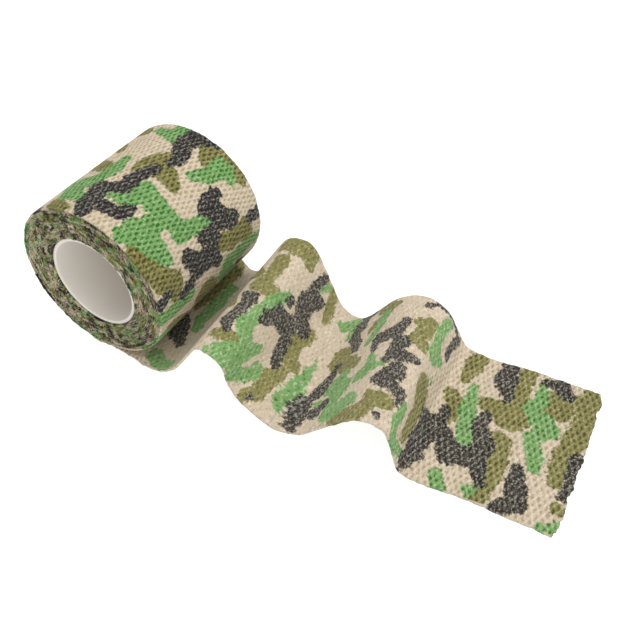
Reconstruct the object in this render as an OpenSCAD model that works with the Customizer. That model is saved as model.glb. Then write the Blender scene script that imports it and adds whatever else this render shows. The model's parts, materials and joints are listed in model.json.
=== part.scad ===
/* [Roll] */
// Outer radius of the wound roll
roll_r = 25.3; // [24:0.1:30]
// Width of the tape
tape_w = 50; // [25:1:75]
// Thickness of the slack tape
tape_t = 0.6; // [0.5:0.05:0.8]

/* [Core] */
// Outer radius of the core tube
core_r = 15.2; // [12:0.1:18]
// Wall of the core tube
core_wall = 1.2; // [0.8:0.1:2]
// How far each end of the core stands back inside the roll
core_recess = 0.5; // [0:0.1:2]
// Gap between the core and the first turn of tape
core_clearance = 0.06; // [0.02:0.01:0.1]

/* [Tail] */
// Distance from the roll's lowest line to the line where the tail lifts off
peel_x = 9; // [8:0.1:12]
// Length of flat tape from the peel line to the first wave
lead_len = 8.5; // [6:0.1:20]
// Flat tape between the two waves
valley_len = 4.4; // [3:0.1:20]
// Flat tape after the second wave, up to the fold of the free end
runout_len = 19; // [10:0.1:60]
// Length of the free end beyond its fold
free_end_len = 19; // [10:0.1:60]
// Gap left in the tape at each fold line
fold_gap = 0.8; // [0.6:0.1:1]

/* [First wave] */
// Height of the first wave
wave_1_h = 17.8; // [14:0.1:22]
// Steepest slope of its side towards the roll
wave_1_rise_angle = 52; // [45:1:70]
// Steepest slope of its far side
wave_1_fall_angle = 62; // [50:1:75]
// Radius of its crest
wave_1_crest_r = 6.3; // [4:0.1:8]
// Radius of the bends at its foot
wave_1_foot_r = 8; // [4:0.1:9]

/* [Second wave] */
// Height of the second wave
wave_2_h = 14.1; // [13:0.1:20]
// Steepest slope of its side towards the roll
wave_2_rise_angle = 41; // [38:1:60]
// Steepest slope of its far side
wave_2_fall_angle = 65; // [50:1:80]
// Radius of its crest on the side towards the roll
wave_2_crest_r = 13.5; // [8:0.1:14]
// Radius of its crest on the far side
wave_2_edge_r = 5.5; // [4:0.1:8]
// Radius of the bend at its foot towards the roll
wave_2_foot_r = 9.5; // [4:0.1:10]
// Radius of the bend at its far foot
wave_2_toe_r = 4; // [3:0.1:6]

/* [Elastic threads] */
// Number of elastic threads across the tape
thread_count = 16; // [6:1:20]
// Width of one thread
thread_w = 0.5; // [0.3:0.1:0.8]
// Thickness of one thread between the plies
thread_t = 0.12; // [0.1:0.01:0.2]
// Distance from the tape's edge to the outermost thread
thread_inset = 2.5; // [1:0.1:4]

/* [Hidden] */
$fn = 96;
bend_steps = 6;
core_len = tape_w - 2 * core_recess;
core_chamfer = 0.3;
half_gap = fold_gap / 2;
thread_pitch = (tape_w - 2 * thread_inset) / (thread_count - 1);

// A pose on the tape's centre line is [x, z, heading]. The tape starts flat under the roll.
function ahead(pose, len) =
    [pose.x + len * cos(pose[2]), pose.y + len * sin(pose[2]), pose[2]];

// A turn is positive where the tape bends upwards.
function bend(pose, r, turn) =
    let (side = sign(turn), heading = pose[2] + turn)
    [
        pose.x + side * r * (sin(heading) - sin(pose[2])),
        pose.y - side * r * (cos(heading) - cos(pose[2])),
        heading
    ];
function bend_poses(pose, r, turn) =
    [for (i = [0:bend_steps]) bend(pose, r, turn * i / bend_steps)];
function last(list) = list[len(list) - 1];

// One side of a wave: a bend, a straight and the opposite bend, height h apart, from flat to flat.
function flank(pose, h, angle, r_first, r_second) =
    let (
        steep = abs(angle),
        straight_len = (abs(h) - (r_first + r_second) * (1 - cos(steep))) / sin(steep),
        first_bend = bend_poses(pose, r_first, angle)
    )
    concat(first_bend, bend_poses(ahead(last(first_bend), straight_len), r_second, -angle));

// A flat length of tape from one pose.
function flat(pose, len) = [pose, ahead(pose, len)];
// The pose where the next length starts, beyond the gap at the fold.
function past(path) = ahead(last(path), fold_gap);

lead = flat([peel_x + half_gap, tape_t / 2 - roll_r, 0], lead_len - fold_gap);
rise_1 = flank(past(lead), wave_1_h, wave_1_rise_angle, wave_1_foot_r, wave_1_crest_r);
fall_1 = flank(past(rise_1), -wave_1_h, -wave_1_fall_angle, wave_1_crest_r, wave_1_foot_r);
valley = flat(past(fall_1), valley_len - fold_gap);
rise_2 = flank(past(valley), wave_2_h, wave_2_rise_angle, wave_2_foot_r, wave_2_crest_r);
fall_2 = flank(past(rise_2), -wave_2_h, -wave_2_fall_angle, wave_2_edge_r, wave_2_toe_r);
runout = flat(past(fall_2), runout_len - fold_gap);
free_end = flat(past(runout), free_end_len);

LENGTHS = ["lead", "rise_1", "fall_1", "valley", "rise_2", "fall_2", "runout", "free_end"];
PATHS = [lead, rise_1, fall_1, valley, rise_2, fall_2, runout, free_end];

// Points beside a path, at one height over its centre line.
function beside(path, height) =
    [for (pose = path) [pose.x - height * sin(pose[2]), pose.y + height * cos(pose[2])]];
function reversed(list) = [for (i = [len(list) - 1:-1:0]) list[i]];

// One layer of the tape along a path, between two heights over its centre line.
module layer(path, low, high, width)
    rotate([90, 0, 0])
        linear_extrude(height = width, center = true)
            polygon(concat(beside(path, low), reversed(beside(path, high))));

// The turns on the core, and the outermost turn running out flat to the peel line.
module wound_tape()
    color("olivedrab") {
        difference() {
            rotate([90, 0, 0])
                cylinder(r = roll_r, h = tape_w, center = true);
            rotate([90, 0, 0])
                cylinder(r = core_r + core_clearance, h = tape_w + 1, center = true);
        }
        translate([0, -tape_w / 2, -roll_r])
            cube([peel_x - half_gap, tape_w, tape_t]);
    }

// A plain tube whose outer edges are broken.
module core_tube()
    color("white")
        rotate([90, 0, 0])
            rotate_extrude()
                polygon([
                    [core_r - core_wall, -core_len / 2],
                    [core_r - core_chamfer, -core_len / 2],
                    [core_r, core_chamfer - core_len / 2],
                    [core_r, core_len / 2 - core_chamfer],
                    [core_r - core_chamfer, core_len / 2],
                    [core_r - core_wall, core_len / 2]
                ]);

// The printed ply is the roll's outside, so it lies underneath along the tail.
module print_ply(path)
    color("yellowgreen")
        layer(path, -tape_t / 2, -thread_t / 2, tape_w);

module elastic_threads(path)
    color("ivory")
        for (i = [0:thread_count - 1])
            translate([0, thread_inset - tape_w / 2 + i * thread_pitch, 0])
                layer(path, -thread_t / 2, thread_t / 2, thread_w);

module back_ply(path)
    color("darkkhaki")
        layer(path, thread_t / 2, tape_t / 2, tape_w);

wound_tape();
core_tube();
for (i = [0:len(LENGTHS) - 1]) {
    print_ply(PATHS[i]);
    elastic_threads(PATHS[i]);
    back_ply(PATHS[i]);
}
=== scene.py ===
import json
import math

import bpy
import numpy as np
from mathutils import Matrix, Vector


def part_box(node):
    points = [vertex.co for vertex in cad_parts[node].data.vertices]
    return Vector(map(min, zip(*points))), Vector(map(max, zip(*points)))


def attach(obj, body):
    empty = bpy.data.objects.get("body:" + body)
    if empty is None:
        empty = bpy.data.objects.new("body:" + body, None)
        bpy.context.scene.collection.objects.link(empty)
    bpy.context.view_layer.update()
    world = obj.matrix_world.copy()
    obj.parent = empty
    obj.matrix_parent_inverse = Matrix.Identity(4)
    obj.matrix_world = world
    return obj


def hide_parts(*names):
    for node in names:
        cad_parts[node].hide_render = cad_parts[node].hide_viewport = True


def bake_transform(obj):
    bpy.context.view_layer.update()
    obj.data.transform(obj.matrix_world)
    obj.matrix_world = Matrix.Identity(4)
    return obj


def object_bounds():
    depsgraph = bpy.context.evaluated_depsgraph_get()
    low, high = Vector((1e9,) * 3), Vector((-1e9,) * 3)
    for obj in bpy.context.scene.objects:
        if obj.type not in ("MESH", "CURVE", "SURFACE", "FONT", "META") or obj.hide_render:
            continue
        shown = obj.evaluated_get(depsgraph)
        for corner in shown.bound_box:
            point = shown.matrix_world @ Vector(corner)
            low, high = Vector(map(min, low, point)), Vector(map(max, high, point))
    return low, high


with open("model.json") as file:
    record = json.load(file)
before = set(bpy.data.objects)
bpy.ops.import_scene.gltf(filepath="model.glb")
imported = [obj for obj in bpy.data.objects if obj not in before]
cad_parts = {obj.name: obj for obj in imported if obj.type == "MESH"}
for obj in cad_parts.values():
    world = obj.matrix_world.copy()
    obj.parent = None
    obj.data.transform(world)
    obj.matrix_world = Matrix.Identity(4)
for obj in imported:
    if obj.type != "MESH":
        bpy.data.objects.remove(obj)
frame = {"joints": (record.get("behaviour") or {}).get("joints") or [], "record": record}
cad_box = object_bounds()

# ---------------------------------------------------------------- sizes from the frame, in millimetres
MM = 0.001


def corners(node):
    """Lowest and highest corner of a CAD node."""
    return [np.array(corner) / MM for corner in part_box(node)]


joint_at = {joint["name"]: np.array(joint["pos_m"]) / MM for joint in frame["joints"] if "pos_m" in joint}
roll_r = corners("wound_tape")[1][2]
half_w = corners("wound_tape")[1][1]
floor_z = corners("lead_print_ply")[0][2]
tape_t = corners("lead_back_ply")[1][2] - floor_z
core_r = corners("core_tube")[1][2]
core_half_len = corners("core_tube")[1][1]
bore_r = frame["record"]["mounts"][0]["dims"]["r_mm"]
tape_end_x = corners("free_end_back_ply")[1][0]

# ---------------------------------------------------------------- the crepe and the mesh over it
NET_ALONG = 1.65      # length of one diamond of the crepe along the tape
NET_ACROSS = 3.7      # and across it
RELIEF = 0.24         # height of the crepe
RELIEF_LEVEL = 0.6    # the crepe value that lies at the tape's own thickness
STEP_ALONG = 0.26     # mesh step along the tape
STEP_ACROSS = 0.35    # and across it
TURN_PITCH = 0.29     # thickness of one turn on the roll
CORE_CLEARANCE = 0.06  # gap between the core and the first turn
RIM_ROUNDING = 0.4    # how far the turns near the roll's outside stand back at its two ends
RIM_DEPTH = 1.4       # and down to which depth under the outermost turn they do so
EDGE_ROUNDING = 0.12  # how far the outermost turn's edges are drawn in
EDGE_WIDTH = 0.8      # and how wide a strip of each edge that takes
LAP = (math.radians(298), math.radians(352))  # where the outermost turn drops under its own start
OUTER_TURN = math.radians(358)
OUTER_STEP = 0.28     # mesh step round the outermost turn
BULGE = 0.6           # the roll is out of round by this much on its side away from the tail
BULGE_AT = math.radians(95)
BULGE_REACH = math.radians(58)
CORNER_CUT = 0.9      # how far the corners of the cut end are worn back
CORNER_WIDTH = 2.2    # and over how much of its width
CUT_DEPTH = 1.5       # how far from the cut end the tape is ragged
NOISE_CELLS = 256


def smoothstep(low, high, x):
    t = np.clip((x - low) / (high - low), 0, 1)
    return t * t * (3 - 2 * t)


def noise(u, w, seed):
    """Smooth noise from -1 to 1 that changes over one unit of u and w."""
    cells = np.random.default_rng(seed).uniform(-1, 1, (NOISE_CELLS, NOISE_CELLS))
    i = np.floor(u).astype(int)
    j = np.floor(w).astype(int)
    fu = smoothstep(0, 1, u - i)
    fw = smoothstep(0, 1, w - j)

    def along_u(row):
        this_cell = cells[i % NOISE_CELLS, row % NOISE_CELLS]
        next_cell = cells[(i + 1) % NOISE_CELLS, row % NOISE_CELLS]
        return this_cell * (1 - fu) + next_cell * fu

    return along_u(j) * (1 - fw) + along_u(j + 1) * fw


def pulled_smooth(s):
    """1 over the two waves, where the tape is pulled smooth, and 0 on the roll and the flat end."""
    return smoothstep(4, 20, s) - smoothstep(112, 130, s)


def crispness(s):
    """How strongly the crepe stands out, in its height and in the painted shade and highlight that its colour
    carries.
    """
    return 1 - 0.5 * pulled_smooth(s)


def crepe(s, v):
    """Raised lines round diamond dimples: 0 in a dimple, 1 on a line. The material turns this into painted
    shade in the dimples and a painted highlight on the lines.
    """
    along = (s + 0.30 * noise(s / 4, v / 4, 1)) / NET_ALONG
    across = (v + 0.50 * noise(s / 4, v / 4, 2)) / NET_ACROSS
    wall = np.abs(np.cos(np.pi * (along + across)) * np.cos(np.pi * (along - across)))
    net = 1 - wall ** 0.8
    lumps = 0.22 * noise(s / 0.9, v / 0.9, 3) + 0.16 * noise(s / 0.5, v / 0.6, 4)
    # Lighter where the tape is pulled smooth, and darker round the whole roll, which is painted shade.
    pulled_lighter_roll_shaded = 0.1 * pulled_smooth(s) - 0.12 * smoothstep(10, -20, s)
    return 0.55 + (net - 0.55) * crispness(s) + lumps + pulled_lighter_roll_shaded


def puff(relief, s):
    """How far the crepe stands out of the tape's face, in millimetres."""
    return RELIEF * (relief - RELIEF_LEVEL) * (0.4 + 0.6 * crispness(s))


# ---------------------------------------------------------------- the print
# Each patch is a chain of round strokes: (place along the tape, place across it, radius). The tape's
# coordinate s is 0 under the roll, grows along the tail, and is negative round the roll.
ROLL_GREEN = [
    [(-102, 20, 2.5), (-98, 20, 2.8), (-98, 14, 2.5), (-95, 9.5, 2.2)],
    [(-80, 24, 2.5), (-81, 18, 2.2), (-77, 20, 2), (-73, 20.5, 1.5)],
    [(-104, -7, 3), (-96, -8, 3.5), (-89, -5, 3), (-88, -11, 3.5), (-84, -13, 2)],
    [(-103, -17, 3.5), (-97, -18, 4.5), (-95, -22, 2.5)], [(-98, -12, 3.5)],
    [(-108, 3, 2.5), (-106, -3, 2.5), (-105, -8, 2.5)],
    [(-75, 3, 2), (-76, -4, 2.5), (-74, -9, 3)],
    [(-74, -10, 3.5), (-70, -12, 4), (-72, -17, 3.5), (-77, -18, 1.8)],
    [(-65, -12, 3), (-57, -6, 3.5), (-52, 3, 4), (-50, 12, 3)], [(-54, -22, 2)],
    [(-126, 22, 2.5), (-126, 14, 3), (-125, 7, 2.5)],
    [(-147, 24, 2.5), (-142, 17, 3.5), (-135, 11, 4), (-129, 6, 3)],
    [(-150, 5, 2), (-150, -3, 2.3), (-149, -8, 2)],
    [(-147, -12, 2), (-140, -18, 2.5), (-133, -23, 2.5)],
    [(-124, -12, 2.2), (-124, -18, 2.2), (-123, -24, 2.5)], [(-108, -16, 2.2), (-104, -17, 3)],
    [(-142, -25, 1.5), (-133, -25, 2)], [(-54, -25, 1.5), (-43, -25, 1.8)],
    [(-16, -25, 1.2), (-10, -25, 1)],
]
ROLL_OLIVE = [
    [(-104, 23.5, 2), (-97, 24, 2), (-92, 22, 2.5)], [(-95, 18, 2.5), (-93, 20, 2.5)],
    [(-86, 9, 2.5), (-84, 5, 3.5), (-82, 1, 1.8)], [(-93, 2, 1.8), (-89, 4, 2.8), (-86, 4, 3)],
    [(-122, 18, 2), (-118, 15, 3.2), (-118, 9, 2.8), (-116, 5, 2.2)],
    [(-120, -17, 1.8), (-115, -17, 3), (-112, -21, 3), (-106, -22.5, 3), (-101, -22.5, 2.5)],
    [(-148, 17, 2.5), (-144, 8, 4), (-138, -1, 5.5), (-130, -3, 4.5)],
    [(-138, -5, 4.5), (-141, -10, 4), (-136, -14, 4.2), (-131, -20, 2)], [(-68, 20, 1.8), (-62, 23, 2.2)],
    [(-67, 9, 1.5), (-59, 17, 1.5)], [(-72, -2, 1.8), (-64, 0, 2.8), (-57, 7, 2), (-52, 13, 3)],
    [(-76, -24, 1.5), (-70, -22, 1.8)], [(-56, -13, 1.5), (-50, -9, 2), (-44, -13, 3.5), (-38, -10, 2.5)],
    [(-50, 8, 2), (-44, 11, 3), (-38, 14, 2.5)],
]
ROLL_CHARCOAL = [
    [(-92, 24.5, 2), (-86, 23, 4), (-85, 17, 3), (-88, 13, 2.5), (-88, 9, 2)],
    [(-86, 3, 2), (-84, -3, 2.5), (-84, -9, 2.5), (-79, -12, 3), (-80, -18, 2.8), (-82, -23, 2.3)],
    [(-91, -13.5, 1.8), (-90, -17, 2.2), (-85, -18, 2.5)], [(-103, 11, 2.5), (-104, 5, 2.8)],
    [(-112, 13, 2.8), (-110, 8, 3.5), (-104, 8, 3)], [(-112, 3, 3.5), (-111, -1, 2.5)],
    [(-121, 2, 2), (-117, 0, 3.5), (-117, -6, 3.8), (-112, -9, 2.5)],
    [(-120, -11, 2.5), (-121, -15, 1.5)], [(-117, 24, 2), (-116.5, 20, 1.8)],
    [(-117, -20.5, 1.5), (-118, -24, 1.8)], [(-142, 24, 1.8), (-136, 19, 2.2), (-131, 14, 1.2)],
    [(-51, -12, 1.5)], [(-52, 6, 2.2), (-46, 3, 3), (-41, 6, 2)],
    [(-49, 21, 2.5), (-43, 17, 3.5), (-40, 22, 2)],
    [(-53, -3, 1.5), (-47, -5, 2.8)], [(-33, -25, 1.2), (-25, -25, 1.5)], [(-66, -25, 1), (-63, -25, 1)],
]
TAIL_OLIVE = [
    [(13, 22, 3), (13, 10, 3), (12, 2, 2)], [(24, 22, 3), (30, 16, 3.5), (36, 12, 3), (42, 8, 2.5)],
    [(28, 6, 3), (36, 0, 3), (42, -6, 2)], [(44, 22, 3), (51, 22, 3.5), (53, 20, 2)],
    [(46, 15, 2.5), (47, 8, 2), (46, 3, 2.5), (50, 3, 2.5), (53, 4, 1.5)],
    [(47, -18, 2), (52, -16, 1.8)], [(66, 24, 2), (69, 19, 1.8), (70, 16, 1)],
    [(70, 8, 2), (68, 3, 2.5), (70, -3, 2.5), (73, -4, 2)],
    [(71, -9, 3), (70, -15, 3), (71, -19, 2.5), (68, -23, 1.8)],
    [(84, 7, 3.5), (83, 3, 3), (88, 1, 3.5), (91, 0, 2.5)],
    [(94, 23, 2.5), (99, 22, 1.5), (94, 17, 2), (92, 14, 1)],
    [(109, 14, 1.5), (112, 16, 2), (110, 8, 2.5), (113, 7, 1.5)], [(104, -16, 2), (109, -17, 2.5)],
    [(94, -23, 2.5), (102, -23, 3), (104, -19, 2.5)], [(131.5, 22, 1.3), (131.5, 14, 1), (134, 24, 1)],
    [(130, 6, 1.8), (133, 4, 2.5), (132.5, -2, 1)],
    [(118, -1, 2.4), (119, -4, 3.4), (121, -8, 2.4), (121, -14, 2), (121, -18, 1.6)],
    [(139, 8, 1.5), (143, 7, 3), (148, 5, 3.5), (147, 12, 2), (147, 20, 1.8), (147, 24, 1.5)],
    [(147, -3, 2), (148, -9, 2.5), (149, -14, 1.8), (147, -22, 2)],
    [(156, 17, 2.5), (162, 19, 2), (165, 22, 2.5), (165, 15, 2.5), (165, 8, 2.5), (163, 1, 2),
     (163, -6, 1.8), (163, -9, 1.5)],
    [(153, 14, 1.5), (159, 13, 2)], [(151, 8, 1.5)], [(166, -17, 1.2)],
]
TAIL_GREEN = [
    [(18, 14, 2.5), (18, 6, 3), (18, -3, 2.5), (19, -7, 1.5)], [(14, -20, 2.5), (17, -22, 2.5), (22, -23, 2)],
    [(55, 7, 2), (53, 0, 3), (52, -6, 3), (51, -10, 3.5), (54, -13, 3)],
    [(60, -11, 2), (57, -17, 3.5), (52, -22, 3.8), (60, -22, 3), (64, -19, 2.2), (65, -14, 2.4),
     (67, -17, 1.2)],
    [(48, -24, 1.5)], [(63, 23, 1.8), (62, 19, 1)],
    [(76.5, 3, 0.8), (76.5, -8, 1.8), (76, -15, 2), (76, -20, 1)], [(74, -12, 1)],
    [(74, 19, 1.5), (79, 19, 2.5), (82, 22, 2.5), (83, 16, 2), (82, 14, 1)],
    [(89, -4, 2.5), (86, -9, 3), (91, -9, 3.5), (89, -15, 3.5), (90, -21, 3), (96, -17, 3.5), (99, -18, 1.5)],
    [(83, -14, 2)], [(98, 1, 1.5), (99, -4, 2.5), (96, -8, 2.5), (103, -4, 1.5)],
    [(93, 7, 1.5), (95, 12, 2), (96, 19, 2.5)], [(117, 22, 2), (116, 15, 2.5), (117, 8, 2.8), (121, 10, 1.5)],
    [(121, 2, 1)], [(115, -14, 2), (114, -20, 2.5), (117, -24, 2), (123, -22, 1.5)],
    [(135, 12, 1.2), (136, 5, 2.2), (138, -4, 2.5), (139, -9, 1.8)], [(136, -20, 1.5), (138, -24, 2)],
    [(145, -22, 1.8)],
    [(152, 22, 1), (153, 15, 2), (151, 11, 2), (155, 8, 3.5), (158, 6, 2.5), (154, 1, 2), (157, -5, 2),
     (157, -8, 1.5)],
    [(167, -22, 1.5), (163, -25, 1)],
]
TAIL_CHARCOAL = [
    [(13, -4, 2), (15, -10, 3.5), (18, -13, 2)],
    [(44.5, -1, 1.8), (47, -2, 2.8), (47, -7, 2.5), (46, -12, 2.2), (48, -15, 1.8)],
    [(60, 24, 2), (60, 18, 2.5), (61.5, 14, 4), (65, 18, 2)], [(60, 12, 3), (62, 9, 3.5), (67, 7, 3.5)],
    [(62, 2, 4.5), (57, 1, 3.5), (54, -5, 2)], [(57, 7, 2)], [(65, -1, 3), (68, -8, 2.5)], [(69.5, -22, 1.8)],
    [(90, 24, 1.5), (86, 24, 3), (86, 18, 3), (85, 14, 2.5), (88, 10, 2.5), (88.5, 7, 2)],
    [(84, 2, 1.8), (83, -4, 2.6), (81.5, -9, 2.6), (79, -12, 2.4), (79, -18, 2.4), (79, -24, 2)],
    [(86, -14, 2.2), (84, -18, 2.6), (80, -17, 2)], [(97, 8, 2.2), (98, 3, 1.8)],
    [(105, 14, 2), (103, 9, 3.5), (99, 7, 3)], [(106, 5, 3.5), (104, -2, 2)], [(108, 0, 3), (113, 1, 1.5)],
    [(108, -6, 4), (104, -10, 2.5), (112, -12, 2.5), (112, -16, 1)], [(109, 22, 1.5), (112, 25, 1)],
    [(108, -22, 1.8)], [(112, 24.5, 1.2), (118, 24.5, 0.8), (123, 23, 1.5), (122, 18, 1.3), (122, 14, 1.3)],
    [(131, 0, 1.8), (131, -4, 2), (126, -6, 2.5), (128, -10, 4), (127, -16, 3.5), (129, -18, 2),
     (126, -22, 2.5)],
    [(133, -7, 2.5), (137, -13, 3.5), (142, -12, 3.5), (144, -6, 3), (141, -2, 2), (141, 3, 2)],
    [(145, -15, 2.5), (147, -19, 1.2)], [(142, 24, 2.5), (142, 18, 3), (144, 13, 2), (144.5, 11, 1.2)],
    [(152, 22, 1.2), (156, 23, 2.5), (159, 20, 2)],
    [(154, -10, 1.5), (155, -15, 2.5), (156, -21, 3), (152, -24, 1.8)],
    [(166.5, 0, 2), (167, -7, 2), (166.5, -13, 1.5)],
]
REPEAT = 169          # the print under the roll repeats that of the tail, this much further along
REPEAT_FROM = 119     # patches of the tail from here on are repeated
PULLED_THINNER = 0.55  # how much the patches shrink where the tape is pulled smooth


def repeated(patches):
    """The tail's last patches again, for the part of the roll that faces the floor."""
    return [[(s - REPEAT, v, r) for s, v, r in patch] for patch in patches if patch[0][0] > REPEAT_FROM]


# Each ink, from the lowest to the top one: its patches and how far it has spread beyond their strokes.
PRINT = {
    "olive": (ROLL_OLIVE + TAIL_OLIVE + repeated(TAIL_OLIVE), 0.8),
    "green": (ROLL_GREEN + TAIL_GREEN + repeated(TAIL_GREEN), 0.2),
    "charcoal": (ROLL_CHARCOAL + TAIL_CHARCOAL + repeated(TAIL_CHARCOAL), 0.15),
}
FAR_OUTSIDE = -4.0


def print_field(ink, s, v):
    """How far inside the ink's nearest patch each place lies, in millimetres, negative outside."""
    patches, spread = PRINT[ink]
    spread = spread - PULLED_THINNER * pulled_smooth(s)
    s = s + 0.5 * noise(s / 2.5, v / 2.5, 5)
    v = v + 0.5 * noise(s / 2.5, v / 2.5, 6)
    inside = np.full(s.shape, FAR_OUTSIDE)
    for patch in patches:
        for (s0, v0, r0), (s1, v1, r1) in zip(patch, patch[1:] or patch):
            length_2 = max((s1 - s0) ** 2 + (v1 - v0) ** 2, 1e-9)
            t = np.clip(((s - s0) * (s1 - s0) + (v - v0) * (v1 - v0)) / length_2, 0, 1)
            away = np.hypot(s - s0 - t * (s1 - s0), v - v0 - t * (v1 - v0))
            inside = np.maximum(inside, spread + r0 + t * (r1 - r0) - away)
    return inside


# ---------------------------------------------------------------- the tail's outline
FOLDS = ["wave_1", "wave_1_crest", "wave_1_toe", "wave_2", "wave_2_crest", "wave_2_toe"]
# How far each fold line lies from its joint at the near edge and at the far edge of the tape.
SKEW = {
    "wave_1": (1.2, 0.6),
    "wave_1_crest": (-1.6, 1.6),
    "wave_1_toe": (-3.4, 0.7),
    "wave_2": (5.0, -3.7),
    "wave_2_crest": (4.1, -4.4),
    "wave_2_toe": (-0.2, -3.6),
}
# How much higher than its joint each crest is, at the near edge and at the far edge.
CREST_LIFT = {"wave_1_crest": (-2.3, 3.0), "wave_2_crest": (0.2, 0.2)}
# Radii of the frame's bends: foot, crest on its rising side, crest on its falling side, toe. Each has how
# much wider the bend is at the near edge and at the far edge of the tape.
BENDS = {
    "wave_1": [(8.0, (2.8, 0.0)), (6.3, (-2.3, 3.1)), (6.3, (1.2, 0.1)), (8.0, (1.5, -2.0))],
    "wave_2": [(9.5, (-0.7, -0.4)), (13.5, (-1.7, 1.8)), (5.5, (-1.2, 3.3)), (4.0, (-1.7, -1.4))],
}
CUT_SKEW = (1.6, -2.2)  # how far the cut end lies from the frame's, at the near edge and the far edge
FAR_LIFT = 1.3        # the far edge still follows the roll a little where the tape leaves it
FAR_LIFT_AT = 12
FAR_LIFT_REACH = 4
SETTLING = 6          # length over which the tail takes on its drift and its lift
# Sideways drift of the tape: (place along the floor, reach, amount at the near edge, at the far edge).
DRIFTS = [
    (16.5, 7.5, -2.0, 0.0),
    (12.5, 4.5, 0.0, 2.2),
    (63.2, 11.0, -3.8, -3.8),
    (106.0, 8.0, -1.1, -1.1),
]
LEAST_VALLEY = 1.2    # the flat between the waves is pinched to this at the far edge
BEND_STEPS = 36


def between(pair, across):
    """A value that changes evenly from the near edge (0) to the far edge (1)."""
    return pair[0] + (pair[1] - pair[0]) * across


def flank(dx, dz, r_first, r_second):
    """One side of a wave from flat to flat: a bend, a straight and the opposite bend."""
    rise = abs(dz)
    both = r_first + r_second
    straight = math.sqrt(max(dx ** 2 + (rise - both) ** 2 - both ** 2, 0.01))
    steep = math.atan2(rise - both, dx) + math.atan2(both, straight)
    turn = np.linspace(0, steep, BEND_STEPS)
    first = np.stack([r_first * np.sin(turn), r_first * (1 - np.cos(turn))], 1)
    second = np.stack([dx - r_second * np.sin(turn), rise - r_second * (1 - np.cos(turn))], 1)[::-1]
    return np.concatenate([first, second]) * (1, math.copysign(1, dz))


def outline(across, skew=1):
    """The centre line above the floor at one place across the tape, in stretches from fold to fold."""
    at = [joint_at[fold][0] + skew * between(SKEW[fold], across) for fold in FOLDS]
    at[3] = max(at[3], at[2] + LEAST_VALLEY)
    stretches = [np.array([[0, 0], [at[0], 0]])]
    for wave, foot in (("wave_1", 0), ("wave_2", 3)):
        crest = wave + "_crest"
        height = joint_at[crest][2] - joint_at[wave][2] + skew * between(CREST_LIFT[crest], across)
        radii = [radius + skew * between(wider, across) for radius, wider in BENDS[wave]]
        stretches.append(flank(at[foot + 1] - at[foot], height, *radii[:2]) + (at[foot], 0))
        stretches.append(flank(at[foot + 2] - at[foot + 1], -height, *radii[2:]) + (at[foot + 1], height))
        flat_end = at[3] if wave == "wave_1" else tape_end_x + skew * between(CUT_SKEW, across)
        stretches.append(np.array([[at[foot + 2], 0], [flat_end, 0]]))
    return stretches


def distances(points):
    """Length of a line up to each of its points."""
    return np.concatenate([[0], np.cumsum(np.hypot(*np.diff(points, axis=0).T))])


middle_lengths = [distances(stretch)[-1] for stretch in outline(0.5, skew=0)]
fold_s = np.concatenate([[0], np.cumsum(middle_lengths)])
tape_end_s = fold_s[-1]


def floor_line(s, across):
    """Points (x, height) at each s, so that every fold line has one s all the way across."""
    line = np.zeros((len(s), 2))
    part = np.clip(np.searchsorted(fold_s, s, side="right") - 1, 0, len(middle_lengths) - 1)
    for i, stretch in enumerate(outline(across)):
        here = part == i
        along = distances(stretch)
        wanted = (s[here] - fold_s[i]) / middle_lengths[i] * along[-1]
        line[here, 0] = np.interp(wanted, along, stretch[:, 0])
        line[here, 1] = np.interp(wanted, along, stretch[:, 1])
    return line


def drift(x, across):
    """Sideways drift of the tape at each x."""
    return sum(
        between(amount, across) * np.exp(-((x - place) / reach) ** 2)
        for place, reach, *amount in DRIFTS
    )


v_across = np.linspace(-half_w, half_w, round(2 * half_w / STEP_ACROSS) + 1)


def tail_surface(s):
    """Middle surface of the tail: a grid of points, along s and across v_across."""
    grid = np.zeros((len(s), len(v_across), 3))
    for column, v in enumerate(v_across):
        share = (v + half_w) / (2 * half_w)
        x, height = floor_line(s, share).T
        settled = smoothstep(0, SETTLING, x)
        lift = FAR_LIFT * share ** 2 * np.exp(-((x - FAR_LIFT_AT) / FAR_LIFT_REACH) ** 2)
        grid[:, column, 0] = x
        grid[:, column, 1] = v + drift(x, share) * settled
        grid[:, column, 2] = floor_z + tape_t / 2 + height + lift * settled
    return grid


def bulge(turn):
    """How far the roll stands out of round, by the turn from its lowest line."""
    return BULGE * np.exp(-((turn - BULGE_AT) / BULGE_REACH) ** 2)


def roll_surface(s):
    """Middle surface of the outermost turn, which drops by one thickness under its own start."""
    turn = -s / roll_r
    drop = tape_t * smoothstep(*LAP, turn)
    to_edge = half_w - np.abs(v_across)
    rounding = np.outer(smoothstep(0, 8, -s), EDGE_ROUNDING * smoothstep(EDGE_WIDTH, 0, to_edge))
    r = roll_r - tape_t / 2 + (bulge(turn) - drop)[:, None] - rounding
    x = -r * np.sin(turn)[:, None]
    z = -r * np.cos(turn)[:, None]
    return np.stack([x, np.broadcast_to(v_across, x.shape), z], 2)


def normals(grid):
    """Unit normals of a surface grid, on the side of the tape's back."""
    cross = np.cross(np.gradient(grid, axis=0), np.gradient(grid, axis=1))
    return cross / np.linalg.norm(cross, axis=2, keepdims=True)


# ---------------------------------------------------------------- meshes
def make_object(name, points, faces, materials, face_materials=None):
    """A new smooth-shaded mesh object from points in millimetres."""
    mesh = bpy.data.meshes.new(name)
    mesh.from_pydata((points * MM).tolist(), [], faces)
    for material in materials:
        mesh.materials.append(material)
    if face_materials is not None:
        mesh.polygons.foreach_set("material_index", face_materials)
    mesh.polygons.foreach_set("use_smooth", [True] * len(mesh.polygons))
    obj = bpy.data.objects.new(name, mesh)
    bpy.context.scene.collection.objects.link(obj)
    return obj


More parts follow.
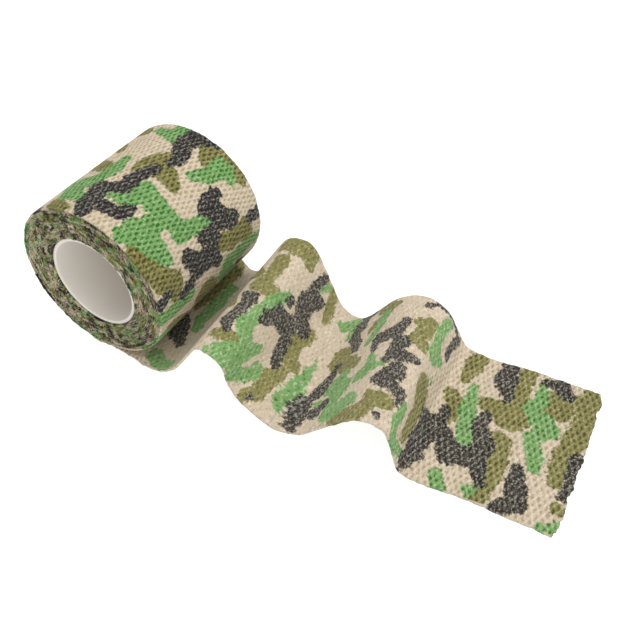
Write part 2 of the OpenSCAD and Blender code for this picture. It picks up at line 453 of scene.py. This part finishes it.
def store(obj, name, values):
    """Stores a number or a vector for each vertex, for the material to read."""
    kind, key = ("FLOAT", "value") if values.ndim == 1 else ("FLOAT_VECTOR", "vector")
    obj.data.attributes.new(name, kind, "POINT").data.foreach_set(key, values.astype(np.float32).ravel())


def grid_faces(rows, columns, first, turned_over):
    """Quads of a grid of vertices whose numbers start at first."""
    i, j = np.meshgrid(np.arange(rows - 1), np.arange(columns - 1), indexing="ij")
    corner = first + i * columns + j
    quads = np.stack([corner, corner + columns, corner + columns + 1, corner + 1], 2).reshape(-1, 4)
    return (quads[:, ::-1] if turned_over else quads).tolist()


def rim(rows, columns):
    """Vertex numbers round the edge of a grid, in order."""
    near = [i * columns for i in range(rows)]
    end = [(rows - 1) * columns + j for j in range(1, columns)]
    far = [i * columns + columns - 1 for i in range(rows - 2, -1, -1)]
    start = list(range(columns - 2, 0, -1))
    return near + end + far + start


def tape_coordinates(s):
    """s and v of each point of a grid, and how far each moves sideways where the edges are uneven."""
    along, across = np.meshgrid(s, v_across, indexing="ij")
    side = np.sign(across)
    edge = smoothstep(1.6, 0, half_w - np.abs(across)) * side
    wave = 0.16 * noise(along / 1.2, side * 3, 7) + 0.14 * noise(along / 4.5, side * 5, 8)
    return along, across, edge * wave


def print_attributes(obj, along, across, relief):
    """Stores the tape coordinates, the crepe and the print, once for each face of the tape."""
    both = [np.concatenate([a.ravel(), a.ravel()]) for a in (along, across, relief)]
    store(obj, "tape", np.stack([both[0], both[1], np.zeros(len(both[0]))], 1))
    store(obj, "relief", both[2])
    for ink in PRINT:
        field = print_field(ink, along, across).ravel()
        store(obj, ink, np.concatenate([field, field]))


def tape_piece(name, middle, back_way, s, materials):
    """A closed length of tape with the crepe on both faces."""
    along, across, edge = tape_coordinates(s)
    middle = middle + edge[..., None] * (0, 1, 0)
    cut = smoothstep(CUT_DEPTH, 0, tape_end_s - along)
    corner = CORNER_CUT * smoothstep(CORNER_WIDTH, 0, half_w - np.abs(across))
    ragged = 0.25 * noise(across / 0.7, along * 0, 9) + 0.35 * noise(across / 3, along * 0, 10)
    middle = middle + (cut * (ragged - corner))[..., None] * (1, 0, 0)
    relief = crepe(along, across)
    out = back_way * (tape_t / 2 + puff(relief, along))[..., None]
    back = middle + out
    printed = middle - out
    rows, columns = along.shape
    count = rows * columns
    points = np.concatenate([back.reshape(-1, 3), printed.reshape(-1, 3)])
    top = grid_faces(rows, columns, 0, False)
    bottom = grid_faces(rows, columns, count, True)
    edge_loop = rim(rows, columns)
    walls = [[b, b + count, a + count, a] for a, b in zip(edge_loop, edge_loop[1:] + edge_loop[:1])]
    faces = top + bottom + walls
    slots = [1] * len(top) + [0] * (len(bottom) + len(walls))
    obj = make_object(name, points, faces, materials, slots)
    print_attributes(obj, along, across, relief)
    return obj


# ---------------------------------------------------------------- materials
class Nodes:
    """Short calls for building one material."""

    def __init__(self, name):
        self.material = bpy.data.materials.new(name)
        self.material.use_nodes = True
        self.tree = self.material.node_tree
        self.shader = self.tree.nodes["Principled BSDF"]

    def feed(self, socket, value):
        """Links an input to another node's output, or sets it to a constant."""
        if isinstance(value, bpy.types.NodeSocket):
            self.tree.links.new(value, socket)
        else:
            socket.default_value = value

    def node(self, kind, **inputs):
        """A node with its inputs set, each by its name or, as i0, i1 and so on, by its number."""
        made = self.tree.nodes.new(kind)
        for key, value in inputs.items():
            numbered = key[0] == "i" and key[1:].isdigit()
            self.feed(made.inputs[int(key[1:]) if numbered else key], value)
        return made

    def math(self, operation, a, b=0.0, c=0.0):
        made = self.node("ShaderNodeMath", i0=a, i1=b, i2=c)
        made.operation = operation
        return made.outputs[0]

    def attribute(self, name, output):
        made = self.node("ShaderNodeAttribute")
        made.attribute_name = name
        return made.outputs[output]

    def stretched(self, vector, scale):
        made = self.node("ShaderNodeVectorMath", i0=vector, i1=scale)
        made.operation = "MULTIPLY"
        return made.outputs[0]

    def noise(self, vector, scale, detail=2.0, roughness=0.5):
        made = self.node("ShaderNodeTexNoise", Vector=vector, Scale=scale, Detail=detail, Roughness=roughness)
        return made.outputs["Fac"]

    def ramp(self, value, low, high, to_low=0.0, to_high=1.0):
        """A smooth change from to_low to to_high as value goes from low to high."""
        made = self.node("ShaderNodeMapRange", i0=value, i1=low, i2=high, i3=to_low, i4=to_high)
        made.interpolation_type = "SMOOTHSTEP"
        return made.outputs[0]

    def mix(self, share, a, b):
        """A colour between a and b, which are the node's inputs number 6 and 7."""
        made = self.node("ShaderNodeMix")
        made.data_type = "RGBA"
        for number, value in ((0, share), (6, a), (7, b)):
            self.feed(made.inputs[number], value)
        return made.outputs[2]

    def bump(self, height, distance, strength=1.0):
        made = self.node("ShaderNodeBump", Height=height, Distance=distance, Strength=strength)
        self.tree.links.new(made.outputs[0], self.shader.inputs["Normal"])

    def set(self, **values):
        for key, value in values.items():
            self.feed(self.shader.inputs[key.replace("_", " ")], value)


def colour(red, green, blue):
    """A screen colour from 0 to 255 as the linear colour that a shader takes."""
    screen = (red / 255, green / 255, blue / 255)
    linear = [c / 12.92 if c <= 0.04045 else ((c + 0.055) / 1.055) ** 2.4 for c in screen]
    return (*linear, 1.0)


# Each ink in the dimples, between them, and on the raised lines. The dimple colour is the ink in painted
# shade; the raised-line colour is partly the pale threads and partly a painted highlight.
INKS = {
    "beige": (colour(156, 144, 113), colour(195, 179, 156), colour(217, 202, 184)),
    "olive": (colour(62, 58, 18), colour(121, 117, 66), colour(162, 156, 108)),
    "green": (colour(44, 94, 32), colour(112, 151, 88), colour(160, 188, 143)),
    "charcoal": (colour(12, 11, 10), colour(52, 49, 44), colour(138, 133, 122)),
}


def inked(n, ink, tone_and_shade):
    """The colour of one ink, darker where the shading value is low and lighter where it is high; low values
    in the dimples are painted shade, high ones on the raised lines are partly a painted highlight.
    """
    deep_shaded, middle, pale = INKS[ink]
    lower = n.mix(n.ramp(tone_and_shade, -0.05, 0.5), deep_shaded, middle)
    return n.mix(n.ramp(tone_and_shade, 0.72, 1.15), lower, pale)


def layered_inks(n, tone_and_shade, strong_tone_and_shade, edge, wash=0.0):
    """Beige tape with the inks over it, each inside the edge of its own patches."""
    surface = inked(n, "beige", tone_and_shade)
    for ink in PRINT:
        depth = n.math("ADD", n.attribute(ink, "Fac"), edge)
        share = n.ramp(depth, -0.2, 0.25, 0.0, 1.0 - wash)
        surface = n.mix(share, surface, inked(n, ink, strong_tone_and_shade if ink == "charcoal" else tone_and_shade))
    return surface


def tape_material(name, wash):
    """Printed crepe non-woven. A wash above 0 lets the pale ply show through the print."""
    n = Nodes(name)
    place = n.attribute("tape", "Vector")
    relief = n.attribute("relief", "Fac")
    fibres = n.noise(place, 1.9, 3.0, 0.7)
    strands = n.noise(n.stretched(place, (2.2, 1.1, 1)), 1.0, 2.0, 0.6)
    either = n.math("ADD", fibres, strands)
    # Random fibre mottling plus the crepe value, which brings painted shade into the dimples and a painted
    # highlight onto the raised lines.
    tone_and_shade = n.math("ADD", relief, n.math("MULTIPLY_ADD", either, 1.7, -1.7))
    strong_tone_and_shade = n.math("ADD", relief, n.math("MULTIPLY_ADD", either, 3.6, -3.6))
    edge = n.math("MULTIPLY_ADD", n.noise(place, 0.55, 4.0, 0.75), 4.4, -2.2)
    surface = layered_inks(n, tone_and_shade, strong_tone_and_shade, edge, wash)
    n.set(Base_Color=surface, Roughness=0.92, Specular_IOR_Level=0.2, Sheen_Weight=0.08, Sheen_Roughness=0.6)
    n.bump(n.math("ADD", either, n.noise(place, 6.0, 3.0, 0.7)), 0.0001, 0.6)
    return n.material


def turns_material():
    """Edges of the wound turns: ragged, and each shows the colours of its own stretch of print, with painted
    shade in the grooves between turns.
    """
    n = Nodes("wound_edges")
    place = n.attribute("turns", "Vector")
    relief = n.attribute("relief", "Fac")
    fibres = n.noise(n.stretched(place, (2.4, 0.9, 1)), 1.0, 2.0, 0.7)
    tone_and_shade = n.math("ADD", relief, n.math("MULTIPLY_ADD", fibres, 3.6, -1.9))
    edge = n.math("MULTIPLY_ADD", n.noise(n.stretched(place, (1.5, 0.6, 1)), 1.0, 3.0, 0.75), 11.0, -5.5)
    n.set(Base_Color=layered_inks(n, tone_and_shade, tone_and_shade, edge), Roughness=0.92, Specular_IOR_Level=0.2)
    n.bump(fibres, 0.0002, 0.9)
    return n.material


def core_material():
    """Smooth moulded plastic, a little mottled, with fine scuffs round it."""
    n = Nodes("core_plastic")
    place = n.node("ShaderNodeTexCoord").outputs["Object"]
    mottle = n.noise(place, 90.0, 3.0, 0.5)
    scuffs = n.noise(n.stretched(place, (300, 3000, 300)), 1.0, 2.0, 0.6)
    surface = n.mix(mottle, colour(223, 217, 209), colour(215, 209, 200))
    n.set(Base_Color=surface, Roughness=n.ramp(scuffs, 0.3, 0.7, 0.34, 0.48), Specular_IOR_Level=0.4,
          Subsurface_Weight=0.15, Subsurface_Scale=0.002)
    n.bump(scuffs, 0.00001, 0.5)
    return n.material


def floor_material():
    """A pale table that is lit from below, as for a picture with no shadows."""
    n = Nodes("pale_floor")
    place = n.node("ShaderNodeTexCoord").outputs["Object"]
    surface = n.mix(n.noise(place, 3.0), (0.31, 0.31, 0.31, 1), (0.33, 0.33, 0.33, 1))
    n.set(Base_Color=surface, Roughness=0.9, Specular_IOR_Level=0.1,
          Emission_Color=(1, 1, 1, 1), Emission_Strength=0.88)
    return n.material


print_finish = tape_material("tape_print", 0.0)
back_finish = tape_material("tape_back", 0.04)
tape_finishes = [print_finish, back_finish]


# ---------------------------------------------------------------- core
def make_core():
    """A thin tube with rounded rims, turned round the roll's axis."""
    rounding = 0.42
    corner_steps = 6
    profile = []
    for r, y, first_turn in (
        (core_r - rounding, core_half_len - rounding, 0),
        (bore_r + rounding, core_half_len - rounding, 1),
        (bore_r + rounding, rounding - core_half_len, 2),
        (core_r - rounding, rounding - core_half_len, 3),
    ):
        for step in range(corner_steps + 1):
            turn = math.radians(90) * (first_turn + step / corner_steps)
            profile.append((r + rounding * math.cos(turn), y + rounding * math.sin(turn)))
    profile = np.array(profile)
    sides = 192
    around = np.linspace(0, 2 * math.pi, sides, endpoint=False)
    r = profile[None, :, 0]
    points = np.stack([
        r * np.sin(around)[:, None],
        np.broadcast_to(profile[None, :, 1], (sides, len(profile))),
        -r * np.cos(around)[:, None],
    ], 2).reshape(-1, 3)
    count = len(profile)
    faces = []
    for i in range(sides):
        for j in range(count):
            ahead = (i + 1) % sides
            after = (j + 1) % count
            faces.append([i * count + j, i * count + after, ahead * count + after, ahead * count + j])
    core = make_object("core", points, faces, [core_material()])
    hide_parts("core_tube")
    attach(core, "core")


# ---------------------------------------------------------------- roll
# How much of each ink shows on the edges of the inner turns: a higher number shows less of it.
INNER_BIAS = {"olive": -0.4, "green": 0.5, "charcoal": 0.6}
FAR_END_SHIFT = (31, 17, 0)  # moves the texture of the far end, so that it isn't a mirror of the near one


def make_wound_turns():
    """The turns under the outermost one, with every turn's edge standing a little in or out."""
    sides = 400
    r_low = core_r + CORE_CLEARANCE
    r_high = roll_r - tape_t
    turn_count = round((r_high - r_low) / TURN_PITCH)
    rings = turn_count * 3 + 1
    r = np.linspace(r_low, r_high, rings)
    around = np.linspace(0, 2 * math.pi, sides, endpoint=False)
    theta, radius = np.meshgrid(around, r, indexing="ij")
    turn_number = (radius - r_low) / TURN_PITCH
    below = r_high - radius
    radius = radius + bulge(theta) * (radius - r_low) / (r_high - r_low)
    whole = np.floor(turn_number + 1e-6)
    groove = (np.arange(rings) % 3 == 0)[None, :]
    arc = theta / (2 * math.pi)
    in_out = 0.12 * noise(arc * 64, whole * 7.3, 11) + 0.26 * noise(arc * 256, turn_number * 0.8, 12)
    height = in_out - 0.14 * groove - RIM_ROUNDING * smoothstep(RIM_DEPTH, 0, below)
    # Painted shade: the grooves between turns are darker, and turn edges that stand out are lighter and
    # sunken ones darker.
    relief = 0.62 + 1.4 * in_out - 0.3 * groove
    faces = []
    points = []
    for side in (-1, 1):
        y = side * (half_w + height)
        points.append(np.stack([-radius * np.sin(theta), y, -radius * np.cos(theta)], 2).reshape(-1, 3))
    count = sides * rings
    last = rings - 1
    for i in range(sides):
        here = i * rings
        ahead = (i + 1) % sides * rings
        for j in range(rings - 1):
            near = [here + j, here + j + 1, ahead + j + 1, ahead + j]
            faces.append(near[::-1])
            faces.append([count + k for k in near])
        faces.append([here, ahead, count + ahead, count + here][::-1])
        faces.append([here + last, ahead + last, count + ahead + last, count + here + last])
    turns = make_object("wound_turns", np.concatenate(points), faces, [turns_material()])
    places = np.stack([theta * radius, whole, np.zeros_like(theta)], 2).reshape(-1, 3)
    store(turns, "turns", np.concatenate([places, places + FAR_END_SHIFT]))
    store(turns, "relief", np.concatenate([relief.ravel(), relief.ravel()]))
    for number, ink in enumerate(PRINT):
        inner = 2.0 * noise(arc * 64 + 5 * number, turn_number * 0.3, 20 + number) - INNER_BIAS[ink]
        ends = []
        for v in (-half_w, half_w):
            outer = print_field(ink, -theta * roll_r, np.full(theta.shape, v))
            ends.append((outer + (inner - outer) * smoothstep(-0.8, 1.0, below)).ravel())
        store(turns, ink, np.concatenate(ends))
    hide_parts("wound_tape")
    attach(turns, "roll")


def with_edges(grid, change=0.0):
    """Values for the outer surface, then for its two edges on the inside, changed by an amount."""
    return np.concatenate([grid.ravel(), grid[:, [0, -1]].ravel() + change])


def make_outer_turn():
    """The outermost turn, creped outside and plain where it lies on the turns below."""
    start = -roll_r * OUTER_TURN
    s = np.linspace(start, 0, round(-start / OUTER_STEP) + 1)
    along, across, edge = tape_coordinates(s)
    middle = roll_surface(s)
    back_way = normals(middle)
    back_way[-1] = (0, 0, 1)
    relief = crepe(along, across)
    out = back_way * (tape_t / 2 + puff(relief, along))[..., None]
    outside = middle + edge[..., None] * (0, 1, 0) - out
    rows, columns = along.shape
    inside = (middle + back_way * tape_t / 2)[:, [0, -1]]
    inside[-1] = tape_back_edge(s[-1:])
    count = rows * columns
    points = np.concatenate([outside.reshape(-1, 3), inside.reshape(-1, 3)])
    faces = grid_faces(rows, columns, 0, True) + grid_faces(rows, 2, count, False)
    for i in range(rows - 1):
        near, far = i * columns, i * columns + columns - 1
        inner = count + 2 * i
        faces.append([near, near + columns, inner + 2, inner])
        faces.append([far, inner + 1, inner + 3, far + columns])
    faces.append([*range(columns), count + 1, count])
    faces.append([*range(count - columns, count), count + 2 * rows - 1, count + 2 * rows - 2][::-1])
    turn = make_object("outer_turn", points, faces, [print_finish])
    store(turn, "tape", np.stack([with_edges(along), with_edges(across), np.zeros(len(points))], 1))
    # The two inside edges get a lower relief value, which paints them darker: painted shade where the turn
    # lies on the turns below.
    store(turn, "relief", with_edges(relief, -0.45))
    for ink in PRINT:
        store(turn, ink, with_edges(print_field(ink, along, across)))
    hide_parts("wound_tape")
    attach(turn, "roll")


def tape_back_edge(s):
    """The two corners of the tape's back where the outermost turn becomes the tail."""
    along, across, edge = tape_coordinates(s)
    middle = roll_surface(s) + edge[..., None] * (0, 1, 0)
    height = tape_t / 2 + puff(crepe(along, across), along)
    return (middle + height[..., None] * (0, 0, 1))[0, [0, -1]]


# ---------------------------------------------------------------- tail
BODIES = ["roll", "lead", "rise_1", "fall_1", "valley", "rise_2", "fall_2", "runout", "free_end"]
PLIES = ["_print_ply", "_elastic_threads", "_back_ply"]
peel_s = joint_at["peel"][0]
lift_s = tape_end_s - (tape_end_x - joint_at["free_end_lift"][0])
bend_s = [peel_s, *fold_s[1:-1], lift_s]
cut_s = [0.0] + [(a + b) / 2 for a, b in zip(bend_s, bend_s[1:])] + [tape_end_s]
# Reach of the bend before and behind its joint where it has to be shorter than the piece.
SHORT_BENDS = {"lead": (2.0, 4.0), "free_end": (3.5, 4.0)}


def bend_line(start_cut, end_cut, joint_x, reach):
    along_cuts = (start_cut[-1] - start_cut[0]) + (end_cut[-1] - end_cut[0])
    along_cuts /= np.linalg.norm(along_cuts)
    centre = start_cut.mean(0)
    way = end_cut.mean(0) - centre
    way -= along_cuts * (way @ along_cuts)
    way /= np.linalg.norm(way)
    first = ((start_cut - centre) @ way).max() + tape_t
    last = ((end_cut - centre) @ way).min() - tape_t
    if reach:
        first = max(first, joint_x - reach[0] - centre[0])
        last = min(last, joint_x + reach[1] - centre[0])
    return (centre + way * first) * MM, (centre + way * last) * MM


def joint_into(body):
    """Name of the joint that carries a body."""
    return [joint["name"] for joint in frame["joints"] if joint["child"] == body][0]


def make_tail():
    """The tail, cut half way between its folds into separate lengths, one for each body after the roll."""
    counts = [max(round((b - a) / STEP_ALONG), 8) for a, b in zip(cut_s, cut_s[1:])]
    rows = np.concatenate([[0], np.cumsum(counts)])
    stretches = [np.linspace(a, b, n + 1)[1:] for a, b, n in zip(cut_s, cut_s[1:], counts)]
    s = np.concatenate([[0], *stretches])
    middle = tail_surface(s)
    back_way = normals(middle)
    back_way[0] = (0, 0, 1)
    for i, (body, next_body) in enumerate(zip(BODIES, BODIES[1:])):
        here = slice(rows[i], rows[i + 1] + 1)
        piece = tape_piece("tape_" + next_body, middle[here], back_way[here], s[here], tape_finishes)
        joint_x = joint_at[joint_into(next_body)][0]
        start, end = bend_line(middle[rows[i]], middle[rows[i + 1]], joint_x, SHORT_BENDS.get(next_body))
        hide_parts(*[next_body + ply for ply in PLIES])
        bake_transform(piece)


# ---------------------------------------------------------------- camera, light and floor
def make_camera():
    """The camera stands off the near right side of the object and looks down at it, a little rolled."""
    azimuth = math.radians(34.2)
    elevation = math.radians(42.1)
    roll = math.radians(-4.4)
    distance = 249.2
    low, high = cad_box
    aim = (low + high) / 2 + Vector((-0.6, 3.7, -10.5)) * MM
    back = Vector((
        math.sin(azimuth) * math.cos(elevation), -math.cos(azimuth) * math.cos(elevation), math.sin(elevation)
    ))
    right = Vector((math.cos(azimuth), math.sin(azimuth), 0))
    up = back.cross(right)
    rolled_right = right * math.cos(roll) + up * math.sin(roll)
    rolled_up = up * math.cos(roll) - right * math.sin(roll)
    data = bpy.data.cameras.new("camera")
    data.sensor_width = 36
    data.lens = 49.39
    data.clip_start = 0.01
    camera = bpy.data.objects.new("camera", data)
    bpy.context.scene.collection.objects.link(camera)
    turned = Matrix((rolled_right, rolled_up, back)).transposed().to_4x4()
    camera.matrix_world = Matrix.Translation(aim + back * distance * MM) @ turned
    bpy.context.scene.camera = camera


def area_light(name, place, size, power):
    """A square softbox that faces the object."""
    data = bpy.data.lights.new(name, "AREA")
    data.size = size
    data.energy = power
    light = bpy.data.objects.new(name, data)
    bpy.context.scene.collection.objects.link(light)
    light.location = place
    light.rotation_mode = "QUATERNION"
    light.rotation_quaternion = Vector(place).to_track_quat("Z", "Y")


def make_studio():
    """Even white light all round, two softboxes and the floor."""
    world = bpy.data.worlds.new("studio")
    world.use_nodes = True
    world.node_tree.nodes["Background"].inputs["Color"].default_value = (1, 1, 1, 1)
    world.node_tree.nodes["Background"].inputs["Strength"].default_value = 0.54
    bpy.context.scene.world = world
    area_light("key", (0.10, 0.08, 0.8), 0.6, 4.8)
    area_light("fill", (0.62, -0.42, 0.35), 0.8, 2.0)
    half = 3000.0
    points = np.array([(x * half, y * half, floor_z) for x, y in ((-1, -1), (1, -1), (1, 1), (-1, 1))])
    make_object("floor", points, [[0, 1, 2, 3]], [floor_material()])
    bpy.context.scene.view_settings.view_transform = "Standard"


make_camera()
make_core()
make_wound_turns()
make_outer_turn()
make_tail()
make_studio()
